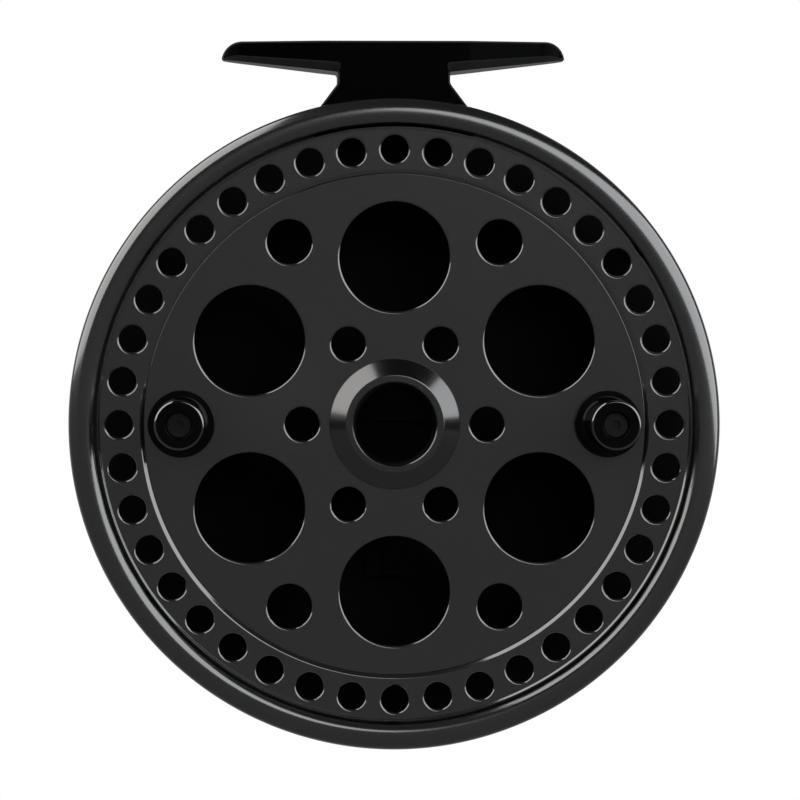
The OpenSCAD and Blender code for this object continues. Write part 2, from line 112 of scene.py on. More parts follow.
def linear(code):
    """Linear RGBA of an sRGB hex value: the sRGB curve undone, channel by channel."""
    srgb = np.array([int(code[i:i + 2], 16) for i in (1, 3, 5)]) / 255
    value = np.where(srgb <= 0.04045, srgb / 12.92, ((srgb + 0.055) / 1.055) ** 2.4)
    return (*value.tolist(), 1.0)


class ReelSizes(bpy.types.PropertyGroup):
    """Sizes of the shells that the frame's boxes don't give."""

    rim_width: length("Rim width", "Radial width of the rim and the front bead", 4.5)
    flange_width: length("Flange width", "Radial width of the perforated flange", 8.1)
    flange_hole: length("Flange hole", "Radius of the holes round the flange", 2.4)
    big_hole: length("Big hole", "Radius of the six big holes in the face", 9.62)
    middle_hole: length("Middle hole", "Radius of the four middle holes in the face", 3.87)
    small_hole: length("Small hole", "Radius of the six small holes in the face", 2.95)
    hole_break: length("Hole edge break", "Radius of the rounded front edge of a hole", 0.45)
    edge_radius: length("Edge radius", "Radius of a plain machined edge", 0.16)
    bezel_land: length("Bezel land", "Outer radius of the bezel's flat land", 8.58)
    bezel_bore: length("Bezel bore", "Radius of the hole in the bezel", 7.27)
    bead_rise: length("Bead rise", "Distance of the bead's crest from the rim's outside", 2.67)
    flange_lip: length("Flange lip", "Width and height of the lip round the flange", 0.3)
    knob_tip: length("Knob tip", "Radius of a knob at its outer end", 4.31)
    knob_waist: length("Knob waist", "Radius of a knob at its waist", 3.76)
    knob_hollow: length("Knob hollow", "Radius of the hollow in a knob's end", 2.3)
    foot_bevel: length("Foot bevel", "Bevel round the foot's top and stem", 0.3)
    foot_under: length("Underside bevel", "Bevel under a wing, next to the stem", 1.5)


class ReelColours(bpy.types.PropertyGroup):
    """Colours of the finishes that show."""

    frame: colour("Frame", "Black anodised frame", "#171717")
    spool: colour("Spool", "Black anodised spool", "#191919")
    foot: colour("Foot", "Deep black foot", "#020202")
    bezel: colour("Bezel", "Black bezel ring", "#060606")
    knob: colour("Knobs", "Gloss black knobs", "#030303")
    steel: colour("Steel", "Turned steel", "#8F9194")
    brass: colour("Brass", "Click gear brass", "#8C7440")


def size(name):
    """A size property in millimetres."""
    return getattr(bpy.context.scene.reel_sizes, name) / MM


# ---- Surfaces ----


def rounded(corners, radii, steps=3, closed=False):
    """An outline through its corners, each one turned into an arc that touches both sides.

    The arc's centre lies one radius square to the side that comes in, at radius x tan(half the
    turn) before the corner. Gives the points, and the unit directions square to the outline on
    the right of the way it runs. An open outline keeps its first and last corner as they are.
    """
    corners = np.asarray(corners, float)
    radii = np.broadcast_to(np.asarray(radii, float), len(corners))
    ahead = np.roll(corners, -1, axis=0) - corners
    ahead /= np.linalg.norm(ahead, axis=1, keepdims=True)
    behind = np.roll(ahead, 1, axis=0)
    turn = np.arctan2(
        behind[:, 0] * ahead[:, 1] - behind[:, 1] * ahead[:, 0], (behind * ahead).sum(1)
    )
    right = np.stack([behind[:, 1], -behind[:, 0]], 1)
    swing = radii * np.sign(turn)
    start = corners - behind * (radii * np.tan(np.abs(turn) / 2))[:, None]
    centre = start - right * swing[:, None]
    angle = turn[:, None] * np.linspace(0, 1, steps + 1)
    x, y = right[:, :1], right[:, 1:]
    normals = np.stack(
        [x * np.cos(angle) - y * np.sin(angle), x * np.sin(angle) + y * np.cos(angle)], -1
    )
    points = centre[:, None] + normals * swing[:, None, None]
    if closed:
        return points.reshape(-1, 2), normals.reshape(-1, 2)
    first = np.array([[ahead[0, 1], -ahead[0, 0]]])
    last = right[-1:]
    return (
        np.concatenate([corners[:1], points[1:-1].reshape(-1, 2), corners[-1:]]),
        np.concatenate([first, normals[1:-1].reshape(-1, 2), last]),
    )


def divided(outline, step):
    """A closed outline with its long sides cut into equal pieces of at most one step."""
    points, normals = outline
    after, after_normals = np.roll(points, -1, axis=0), np.roll(normals, -1, axis=0)
    gap = np.linalg.norm(after - points, axis=1)
    cuts = np.maximum(np.ceil(gap / step).astype(int), 1)
    side = np.repeat(np.arange(len(points)), cuts)
    share = (np.arange(len(side)) - np.repeat(np.cumsum(cuts) - cuts, cuts)) / cuts[side]
    share = share[:, None]
    mixed = normals[side] * (1 - share) + after_normals[side] * share
    mixed /= np.linalg.norm(mixed, axis=1, keepdims=True)
    return points[side] * (1 - share) + after[side] * share, mixed


def turn_about(count, centre=(0, 0)):
    """The outline for a profile turned about a centre: a point, with directions all round it."""
    angle = np.arange(count) * math.tau / count
    normals = np.stack([np.cos(angle), np.sin(angle)], 1)
    return np.broadcast_to(np.asarray(centre, float), normals.shape), normals


def on_circle(count, radius, first_degrees=0.0):
    """Centres spaced evenly on a circle about the axis."""
    angle = np.radians(first_degrees) + np.arange(count) * math.tau / count
    return np.stack([np.cos(angle), np.sin(angle)], 1) * radius


class Skin:
    """One closed surface: grids of quads, and flats that fill the loops where the grids end.

    Points are (x, up, out) in millimetres from the spool's axis, out being the reel's front.
    """

    def __init__(self):
        self.points, self.normals, self.faces = [], [], []
        self.count = 0

    def grid(self, points, normals, wrap=(True, False)):
        """Quads on rows x columns of points. Numbers the points, and closes a wrapped way."""
        rows, columns = points.shape[:2]
        index = self.count + np.arange(rows * columns).reshape(rows, columns)
        self.count += rows * columns
        self.points.append(points.reshape(-1, 3))
        self.normals.append(normals.reshape(-1, 3))
        net = np.vstack([index, index[:1]]) if wrap[0] else index
        net = np.hstack([net, net[:, :1]]) if wrap[1] else net
        quads = np.stack([net[:-1, :-1], net[1:, :-1], net[1:, 1:], net[:-1, 1:]], -1)
        self.faces += quads.reshape(-1, 4).tolist()
        return index

    def carry(self, profile, outline, closed=False):
        """A profile of (distance, out) carried round an outline of (x, up).

        point = outline point + the direction square to the outline x distance, at height out.
        Gives the loops of the profile's first and last point.
        """
        line, line_normals = profile
        base, square = outline
        shape = (len(base), len(line), 1)
        across = base[:, None] + square[:, None] * line[None, :, :1]
        out = np.broadcast_to(line[None, :, 1:], shape)
        tilt = square[:, None] * line_normals[None, :, :1]
        lift = np.broadcast_to(line_normals[None, :, 1:], shape)
        index = self.grid(
            np.concatenate([across, out], 2), np.concatenate([tilt, lift], 2), (True, closed)
        )
        return index[:, 0], index[:, -1]

    def flat(self, facing, *loops):
        """Fills the flat between an outer loop and the round holes in it with a constrained
        Delaunay net on the loops' own points, less the triangles inside one hole.
        It faces the front with 1, the back with -1."""
        index = np.concatenate(loops)
        spots = np.concatenate(self.points)[index, :2]
        lengths = [len(loop) for loop in loops]
        after = np.arange(len(index)) + 1
        after[np.cumsum(lengths) - 1] -= lengths
        edges = np.stack([np.arange(len(index)), after], 1).tolist()
        made = delaunay_2d_cdt([Vector(p) for p in spots.tolist()], edges, [], 1, 1e-6)
        if len(made[0]) != len(index):
            raise RuntimeError("two loops of a flat cross")
        source = np.array([origin[0] for origin in made[3]])
        net = source[np.array(made[2])]
        owner = np.repeat(np.arange(len(loops)), lengths)[net]
        in_hole = (owner[:, 0] > 0) & (owner == owner[:, :1]).all(1)
        net = net[~in_hole]
        a, b, c = (spots[net[:, i]] for i in range(3))
        area = (b - a)[:, 0] * (c - a)[:, 1] - (b - a)[:, 1] * (c - a)[:, 0]
        net = np.where((area * facing > 0)[:, None], net, net[:, ::-1])
        self.faces += index[net].tolist()

    def put(self, name, body, slot, material, *nodes, buff_and_painted_sheen=None, inside=None):
        """Makes the mesh in the part's frame, (x, -out, axis + up), and lets it ride.

        Inside is (radius, from, to): faces nearer the axis than the radius, and between those
        two heights, take a darker matt copy of the finish, which is painted shade.
        """
        local, square = np.concatenate(self.points), np.concatenate(self.normals)
        place = np.stack([local[:, 0], -local[:, 2], local[:, 1]], 1) * MM + [0, 0, AXIS_Z]
        square = np.stack([square[:, 0], -square[:, 2], square[:, 1]], 1)
        square /= np.linalg.norm(square, axis=1, keepdims=True)
        mesh = bpy.data.meshes.new(name)
        mesh.from_pydata(place.tolist(), [], self.faces)
        if mesh.validate():
            raise RuntimeError(f"{name}: the mesh had faults")
        mesh.shade_smooth()
        mesh.normals_split_custom_set_from_vertices(square.tolist())
        mesh.materials.append(material)
        if inside:
            # The second material darkens the faces deep inside: painted shade
            mesh.materials.append(finish_of("inside"))
            middle = np.array([local[face].mean(0) for face in self.faces])
            near = np.hypot(middle[:, 0], middle[:, 1]) < inside[0]
            between = (middle[:, 2] > inside[1]) & (middle[:, 2] < inside[2])
            mesh.polygons.foreach_set("material_index", (near & between).astype(np.int32))
        # A mask per point for the edge colour and coat: a painted highlight on the foot, a buffed rim on the knobs
        if buff_and_painted_sheen is not None:
            mesh.attributes.new("buff_and_painted_sheen", "FLOAT", "POINT").data.foreach_set("value", buff_and_painted_sheen)
        made = bpy.data.objects.new(name, mesh)
        bpy.context.scene.collection.objects.link(made)
        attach(made, body)
        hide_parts(*nodes)


# ---- Materials ----


def add(tree, kind, inputs=None, **settings):
    """Adds a node with its settings; each input is a value, or a socket to link from."""
    made = tree.nodes.new(kind)
    for name, value in settings.items():
        setattr(made, name, value)
    for key, value in (inputs or {}).items():
        if isinstance(value, bpy.types.NodeSocket):
            tree.links.new(value, made.inputs[key])
        else:
            made.inputs[key].default_value = value
    return made


# Width of the clouds that colour wanders over, in millimetres
CLOUD_MM = 9


def surface(name, base, metallic, roughness, spread, grain_mm, relief_mm, tint=0.05,
            turned_mm=0.0, coat=0.0, coat_rough=0.08, specular=0.5, buff_and_painted_sheen=None,
            coat_ior=1.5):
    """A machined or moulded surface with its own grain.

    The colour wanders by tint over clouds some millimetres wide, the roughness wanders by
    spread with the grain, and the grain, or rings turned about the spool's axis at turned_mm
    apart, lift the surface by relief_mm. A piece's edges may take another colour from a mask,
    a painted highlight where it is paler, and then it is coated on those edges only.
    """
    material = bpy.data.materials.new(name)
    material.use_nodes = True
    tree = material.node_tree
    tree.nodes.clear()
    place = add(tree, "ShaderNodeTexCoord").outputs["Object"]
    clouds = add(
        tree, "ShaderNodeTexNoise", {"Vector": place, "Scale": 1 / (CLOUD_MM * MM), "Detail": 3.0}
    ).outputs["Fac"]
    grain = add(
        tree, "ShaderNodeTexNoise", {"Vector": place, "Scale": 1 / (grain_mm * MM), "Detail": 2.0}
    ).outputs["Fac"]
    height = grain
    if turned_mm:
        centred = add(
            tree, "ShaderNodeVectorMath",
            {0: place, 1: (0, 0, AXIS_Z)}, operation="SUBTRACT",
        ).outputs[0]
        rings = add(
            tree, "ShaderNodeTexWave",
            {"Vector": centred, "Scale": math.tau / 20 / (turned_mm * MM), "Distortion": 0.4,
             "Detail": 1.0, "Detail Scale": 1 / (6 * MM)},
            wave_type="RINGS", rings_direction="Y",
        ).outputs["Fac"]
        height = add(
            tree, "ShaderNodeMath", {0: rings, 1: grain}, operation="ADD"
        ).outputs[0]
    shade = add(
        tree, "ShaderNodeMapRange",
        {"Value": clouds, "From Min": 0.3, "From Max": 0.7,
         "To Min": 1 - tint, "To Max": 1 + tint},
    ).outputs["Result"]
    tone = add(
        tree, "ShaderNodeVectorMath", {0: base[:3], "Scale": shade}, operation="SCALE"
    ).outputs[0]
    # The edge colour from the mesh's mask: a painted highlight where it is paler than the base
    if buff_and_painted_sheen:
        edge = add(tree, "ShaderNodeAttribute", attribute_name="buff_and_painted_sheen").outputs["Fac"]
        tone = add(
            tree, "ShaderNodeMix", {0: edge, 6: tone, 7: buff_and_painted_sheen}, data_type="RGBA"
        ).outputs[2]
        coat = add(tree, "ShaderNodeMath", {0: edge, 1: coat}, operation="MULTIPLY").outputs[0]
    rough = add(
        tree, "ShaderNodeMapRange",
        {"Value": grain, "From Min": 0.3, "From Max": 0.7,
         "To Min": roughness - spread, "To Max": roughness + spread},
    ).outputs["Result"]
    bump = add(
        tree, "ShaderNodeBump", {"Height": height, "Strength": 1.0, "Distance": relief_mm * MM}
    ).outputs["Normal"]
    shader = add(
        tree, "ShaderNodeBsdfPrincipled",
        {"Base Color": tone, "Metallic": metallic, "Roughness": rough, "Normal": bump,
         "Specular IOR Level": specular, "Coat Weight": coat, "Coat Roughness": coat_rough,
         "Coat IOR": coat_ior},
    )
    add(tree, "ShaderNodeOutputMaterial", {"Surface": shader.outputs["BSDF"]})
    return material


def finishes():
    """Every finish, by the record's material slot. Colours are linear."""
    colours = bpy.context.scene.reel_colours
    return {
        # Fine-blasted, black anodised aluminium: an even satin black with soft-edged highlights
        "anodised_frame": surface(
            "satin_anodised_aluminium_frame", colours.frame, 0, 0.2, 0.02, 0.3, 0.0002,
            coat=1.0, coat_rough=0.13, coat_ior=1.9),
        # The same, lightly turned and a little smoother: plain flats and bright hole edges
        "anodised_spool": surface(
            "satin_anodised_aluminium_spool", colours.spool, 0, 0.16, 0.02, 0.3, 0.0001,
            turned_mm=0.5, coat=1.0, coat_rough=0.09, coat_ior=1.9),
        # Painted shade: a darker, nearly matt copy of the black anodising for the faces deep inside the drum and
        # the dish, so that they return next to no light
        "inside": surface(
            "painted_shade_anodised_aluminium_inside", linear("#030303"), 0, 0.6, 0.04, 0.3, 0.001,
            specular=0.06),
        # Polished and deep-dyed aluminium: nearly black, its bevelled edges coloured dark grey as a painted
        # highlight
        "black_foot": surface(
            "polished_anodised_aluminium_foot_painted_edge_sheen", colours.foot, 0, 0.25, 0.02, 0.3, 0.0005,
            specular=0.02, buff_and_painted_sheen=linear("#262727")),
        # Fine-turned and black anodised: darker than the faces, with broad bright sectors
        "black_bezel": surface(
            "turned_anodised_aluminium_bezel", colours.bezel, 0, 0.24, 0.02, 0.25, 0.0002,
            turned_mm=0.3, coat=0.8, coat_rough=0.16, coat_ior=1.9),
        # Chemically blackened steel: dull, slightly brown black
        "black_screw": surface(
            "black_oxide_steel", linear("#0C0B0B"), 0, 0.45, 0.05, 0.2, 0.001,
            specular=0.2),
        # Moulded phenolic, buffed on the rim of its end: deep black with a thin bright edge
        "gloss_knob": surface(
            "buffed_phenolic_knob", colours.knob, 0, 0.16, 0.02, 1.6, 0.001, coat=1.0,
            coat_rough=0.05, specular=0.12, buff_and_painted_sheen=linear("#030303"), coat_ior=2.3),
        # Matt-dyed black aluminium deep in the hub, made darker still as painted shade so it reads as an unlit
        # hole
        "cap_black": surface(
            "matt_anodised_aluminium_cap_painted_shade", linear("#010101"), 0, 0.6, 0.04, 0.3, 0.001,
            specular=0.02),
        # Machined and black anodised for the fingers: a plain satin black
        "control_black": surface(
            "satin_anodised_aluminium_control", linear("#1B1C1D"), 0, 0.32, 0.03, 0.3, 0.002),
        # Turned and polished steel: bright, with fine tool rings
        "turned_steel": surface(
            "turned_steel", colours.steel, 1, 0.28, 0.04, 0.2, 0.002, turned_mm=0.25),
        # Zinc-plated steel: paler and duller than bare steel
        "plated_nut": surface(
            "zinc_plated_steel", linear("#7E8082"), 1, 0.36, 0.05, 0.4, 0.002),
        # The hub's black anodised aluminium, deep in the spool: a dull black
        "hub_alloy": surface(
            "black_anodised_aluminium_hub", linear("#0A0A0B"), 0, 0.42, 0.03, 0.3, 0.002,
            specular=0.25),
        # Ground bearing steel: the brightest and smoothest surface
        "bearing_steel": surface(
            "ground_bearing_steel", linear("#B9BBBE"), 1, 0.14, 0.02, 0.2, 0.0005),
        # Milled brass, slightly tarnished
        "brass": surface("milled_brass", colours.brass, 1, 0.35, 0.06, 0.3, 0.002, tint=0.2),
        # Rolled spring steel, heat-darkened
        "spring_steel": surface(
            "rolled_spring_steel", linear("#4A4B4F"), 1, 0.3, 0.04, 0.3, 0.001),
        # Chemically blackened spring and check parts: near black, dull
        "black_steel": surface(
            "black_oxide_check_steel", linear("#040404"), 0, 0.5, 0.05, 0.2, 0.001,
            specular=0.06),
        # Moulded acetal: matt black, slightly waxy
        "washer_plastic": surface(
            "moulded_acetal", linear("#151515"), 0, 0.5, 0.04, 0.4, 0.002),
        # Pressed fibre: brownish black, matt and coarse
        "brake_pad": surface(
            "pressed_fibre", linear("#0F0D0C"), 0, 0.85, 0.08, 0.35, 0.02, tint=0.35,
            specular=0.2),
    }


# ---- Pieces ----


def swept(centre, radial, rise, steps=20):
    """A quarter of a full curve round a centre, from its side to its crest.

    |distance / radial| ^ 2.5 + |height / rise| ^ 2.5 = 1: flatter on top than an ellipse.
    """
    angle = np.linspace(0, math.pi / 2, steps + 1)[:, None]
    c, s = np.cos(angle), np.sin(angle)
    points = np.hstack([centre[0] + radial * c**0.8, centre[1] + rise * s**0.8])
    normals = np.hstack([c**1.2 / radial, s**1.2 / rise])
    return points, normals / np.linalg.norm(normals, axis=1, keepdims=True)


def make_front_ring(finish):
    """The front ring: a square back and a swelling bead in front, turned about the axis."""
    skin = Skin()
    outer, inner = RING_HIGH[0], RING_HIGH[0] - size("rim_width")
    back, crest = RING_LOW[2], RING_HIGH[2]
    top = outer - size("bead_rise")
    # The bead falls this far below its crest on the inside, and this far on the outside
    fall, drop = 1.4, size("rim_width") / 2
    base, base_normals = rounded(
        [(inner, crest - fall), (inner, back), (outer, back), (outer, crest - drop)],
        [0, 0.1, size("edge_radius"), 0], 4,
    )
    rising, rising_normals = swept((top, crest - drop), outer - top, drop)
    falling, falling_normals = swept((top, crest - fall), inner - top, fall)
    skin.carry(
        (
            np.concatenate([base, rising[1:], falling[-2:0:-1]]),
            np.concatenate([base_normals, rising_normals[1:], falling_normals[-2:0:-1]]),
        ),
        turn_about(512), closed=True,
    )
    skin.put("bead_ring", "frame", "anodised_frame", finish, "front_ring")


def drill(skin, centre, radius, front, back, broken, steps=2, count=48, lead=0.05):
    """A round hole's wall: its front edge rounded off, its bore, and its plain back edge.

    The front flat starts lead outside the rounded edge.
    """
    corners = [(radius + broken + lead, front), (radius, front), (radius, back),
               (radius + BREAK + lead, back)]
    return skin.carry(rounded(corners, [0, broken, BREAK, 0], steps), turn_about(count, centre))


def make_spool_drum(finish):
    """The drum with its perforated, lipped flange in front and its plain flange behind."""
    skin = Skin()
    lip, flange, rear_flange, ledge_depth = size("flange_lip"), 2.2, 1.6, 2.2
    outer, front, rear = DRUM_HIGH[0], DRUM_HIGH[2] - lip, DRUM_LOW[2]
    flange_back = front + lip - flange
    rear_front = rear + rear_flange
    bore = outer - size("flange_width")
    # The arbor under the line, the ledge that carries the face plate, the track of the drag
    arbor, ledge, track = bore + 1.6, bore - 3, bore - 4.5
    step, seat = FACE_HIGH[2], FACE_LOW[2]
    round_edge, count = size("edge_radius"), 320
    outer_back, outer_front = skin.carry(
        rounded(
            [(outer - 0.5, flange_back), (outer, flange_back), (outer, front + lip),
             (outer - 0.12, front + lip), (outer - 0.12 - lip, front),
             (outer - 0.2 - lip, front)],
            [0, 0.12, 0.04, 0.04, 0.06, 0], 4,
        ),
        turn_about(count),
    )
    inner_front, inner_back = skin.carry(
        rounded(
            [(bore + 0.9, front), (bore + 0.55, front), (bore, step), (bore, seat),
             (ledge, seat), (ledge, seat - ledge_depth), (bore, seat - ledge_depth),
             (bore, rear_front), (track, rear_front), (track, rear), (track + 0.5, rear)],
            [0, 0.45, 0.1, BREAK, 0.1, 0.1, BREAK, BREAK, 0.1, 0.1, 0], 5,
        ),
        turn_about(count),
    )
    rear_back, rear_edge = skin.carry(
        rounded(
            [(outer - 0.5, rear), (outer, rear), (outer, rear_front), (outer - 0.5, rear_front)],
            [0, round_edge, round_edge, 0], 3,
        ),
        turn_about(count),
    )
    arbor_back, arbor_front = skin.carry(
        rounded(
            [(arbor + 0.07, rear_front), (arbor, rear_front), (arbor, flange_back),
             (arbor + 0.07, flange_back)],
            [0, BREAK, BREAK, 0], 2,
        ),
        turn_about(count),
    )
    centres = on_circle(40, bore + size("flange_width") * 0.52)
    radius = size("flange_hole")
    front_holes = [
        drill(skin, centre, radius, front, flange_back, size("hole_break"), 5, 44, 0.08)
        for centre in centres
    ]
    skin.flat(1, outer_front, inner_front, *[hole[0] for hole in front_holes])
    skin.flat(-1, outer_back, arbor_front, *[hole[1] for hole in front_holes])
    skin.flat(1, rear_edge, arbor_back)
    skin.flat(-1, rear_back, inner_back)
    # The drum's inner faces take the darker matt material: painted shade
    skin.put(
        "perforated_spool", "spool", "anodised_spool", finish, "spool_drum",
        inside=(outer - 0.05, rear + 0.3, front - 1.2),
    )


def make_spool_face(finish):
    """The face plate: a disc with its hub hole, its lightening holes and the knobs' holes."""
    skin = Skin()
    outer, front, back = FACE_HIGH[0], FACE_HIGH[2], FACE_LOW[2]
    edge_back, edge_front = skin.carry(
        rounded(
            [(outer - 0.4, back), (outer, back), (outer, front), (outer - 0.4, front)],
            [0, 0.08, 0.14, 0], 3,
        ),
        turn_about(320),
    )
    holes = [drill(skin, (0, 0), size("bezel_bore") + BEZEL_WALL, front, back, BREAK, 1, 96)]
    broken = size("hole_break")
    # Each group's circle is a share of the plate's radius
    groups = [
        (on_circle(6, outer * 0.6674, 30), size("big_hole"), 96),
        (on_circle(6, outer * 0.8392, 0)[[1, 2, 4, 5]], size("middle_hole"), 64),
        (on_circle(6, outer * 0.3689, 0), size("small_hole"), 56),
    ]
    holes += [
        drill(skin, centre, radius, front, back, broken, 6, count)
        for centres, radius, count in groups for centre in centres
    ]
    middle, post_hole = (KNOB_LOW[0] + KNOB_HIGH[0]) / 2, 1.43
    holes += [
        drill(skin, (side * middle, 0), post_hole, front, back, BREAK, 1, 32)
        for side in (-1, 1)
    ]
    skin.flat(1, edge_front, *[hole[0] for hole in holes])
    skin.flat(-1, edge_back, *[hole[1] for hole in holes])
    skin.put("face_plate", "spool", "anodised_spool", finish, "spool_face")


def make_bezel(finish):
    """The bezel: a wide bevel from its foot up to a narrow flat land round the hub's hole."""
    skin = Skin()
    seat, top = BEZEL_LOW[2], BEZEL_HIGH[2]
    bore, land, outer = size("bezel_bore"), size("bezel_land"), BEZEL_HIGH[0]
    fit = bore + BEZEL_WALL
    skin.carry(
        rounded(
            [(fit, seat), (outer, seat), (outer, seat + 0.3), (land, top), (bore + 0.22, top),
             (bore, top - 0.22), (bore, top - 1), (fit, top - 1)],
            [0.05, 0.05, 0.4, 0.5, 0.08, 0.08, 0.05, 0.05], 6, closed=True,
        ),
        turn_about(192), closed=True,
    )
    skin.put("bezel_ring", "spool", "black_bezel", finish, "hub_bezel")


def make_knobs(finish):
    """Two waisted knobs, each a profile turned about its post, with a hollow end."""
    base, tip = KNOB_LOW[2], KNOB_HIGH[2]
    radius = (KNOB_HIGH[0] - KNOB_LOW[0]) / 2
    middle = (KNOB_LOW[0] + KNOB_HIGH[0]) / 2
    hollow, bore = size("knob_hollow"), 1.85
    flange_top, waist_up, hollow_floor = base + 1.2, base + 7, tip - 2.4
    steps, spokes, rim_corner = 8, 128, 5
    corners = [
        (bore, base), (radius, base), (radius, flange_top), (size("knob_waist") + 0.3, flange_top),
        (size("knob_waist"), waist_up), (size("knob_tip"), tip), (hollow, tip),
        (hollow, hollow_floor), (bore, hollow_floor),
    ]
    profile = rounded(
        corners, [0.1, 0.12, 0.12, 0.9, 12, 0.4, 0.08, 0.1, 0.1], steps, closed=True
    )
    # Rubbed on the rim of its end only
    buff_and_painted_sheen_mask = np.zeros((spokes, len(corners), steps + 1), np.float32)
    buff_and_painted_sheen_mask[:, rim_corner, 1:-1] = 1
    for side, name in ((-1, "left"), (1, "right")):
        skin = Skin()
        skin.carry(profile, turn_about(spokes, (side * middle, 0)), closed=True)
        skin.put(f"{name}_grip", f"{name}_handle", "gloss_knob", finish, f"{name}_knob",
                 buff_and_painted_sheen=buff_and_painted_sheen_mask.ravel())


def foot_half_width(x):
    """Half of the foot's width at x: even over the stem, tapering to round ends."""
    x = np.abs(x)
    wide = FOOT_HIGH[2]
    end = wide * 0.64
    start, centre = FOOT_STEM + FOOT_FLARE, FOOT_HIGH[0] - end
    taper = wide - (wide - end) * np.clip((x - start) / (centre - start), 0, 1)
    past = np.clip((x - centre) / end, 0, 1)
    return taper * np.sqrt(np.maximum(1 - past**2, 0))


def make_foot(finish):
    """The foot: its side outline carried across the rod, with a bevel on both long edges.

    A row is one point of the outline; the columns run from the back face to the front face.
    point = outline - square direction x bevel x inset, at +-(half width - bevel x depth).
    """
    skin = Skin()
    tip, base, top = FOOT_HIGH[0], FOOT_LOW[1], FOOT_HIGH[1]
    # Height of the flare, depth of a wing at the stem and at its tip, slant of the tip
    flare, deep, thin, slant = 4.4, 5.4, 3.1, 1.04
    right = [(FOOT_STEM + FOOT_FLARE, base), (FOOT_STEM, base + flare), (FOOT_STEM, top - deep),
             (tip, top - thin), (tip - slant, top)]
    left = [(-x, up) for x, up in right[::-1]]
    radii = [0.15, 1.2, 0.5, 0.4, 3.7]
    outline, square = divided(rounded(right + left, radii + radii[::-1], 8, closed=True), 0.6)
    narrow, wide = size("foot_bevel"), size("foot_under")
    along = np.abs(outline[:, 0])
    under = np.clip(-square[:, 1] * 4 - 2.6, 0, 1) * (outline[:, 1] > top - 7)
    under *= np.clip((tip - 0.5 - along) / 2, 0, 1)
    reach = np.clip((tip - along) / (tip - FOOT_STEM), 0, 1)
    bevel = narrow + (0.8 + (wide - 0.8) * reach - narrow) * under
    bevel *= np.clip((outline[:, 1] - base) / 1.2, 0.35, 1)
    path, path_normals = rounded([(0, 1.25), (0, 1), (1, 0), (1.25, 0)], [0, 0.3, 0.3, 0], 3)
    depth = np.concatenate([path[:, 0], path[::-1, 0]])
    inset = np.concatenate([path[:, 1], path[::-1, 1]])
    facing = np.concatenate([-path_normals[:, 0], path_normals[::-1, 0]])
    outward = np.concatenate([path_normals[:, 1], path_normals[::-1, 1]])
    side = np.repeat([-1.0, 1.0], len(path))
    flat = outline[:, None] - square[:, None] * (bevel[:, None] * inset)[..., None]
    half = np.maximum(foot_half_width(flat[..., 0]), bevel[:, None] + 0.3)
    out = side * (half - bevel[:, None] * depth)
    step = 0.01
    slope = (foot_half_width(flat[..., 0] + step) - foot_half_width(flat[..., 0] - step)) / 2 / step
    slope = np.where(half > bevel[:, None] + 0.31, np.clip(slope, -3, 3), 0)
    tilt = np.sqrt(1 + slope**2)
    push = np.abs(outward)[None, :]
    face = np.abs(facing)[None, :]
    normals = np.stack(
        [square[:, :1] * push - slope / tilt * face, square[:, 1:] * push + 0 * face,
         side * face / tilt], -1,
    )
    points = np.concatenate([flat, out[..., None]], 2)
    index = skin.grid(points, normals)
    skin.flat(1, index[:, -1])
    skin.flat(-1, index[:, 0])
    # The bevel's points take the paler edge colour: a painted highlight along the foot's edges
    buff_and_painted_sheen_mask = np.minimum(depth, inset) > 0.001
    buff_and_painted_sheen_mask = np.broadcast_to(buff_and_painted_sheen_mask.astype(np.float32), points.shape[:2]).ravel()
    skin.put("rod_foot", "frame", "black_foot", finish, "reel_foot", buff_and_painted_sheen=buff_and_painted_sheen_mask)


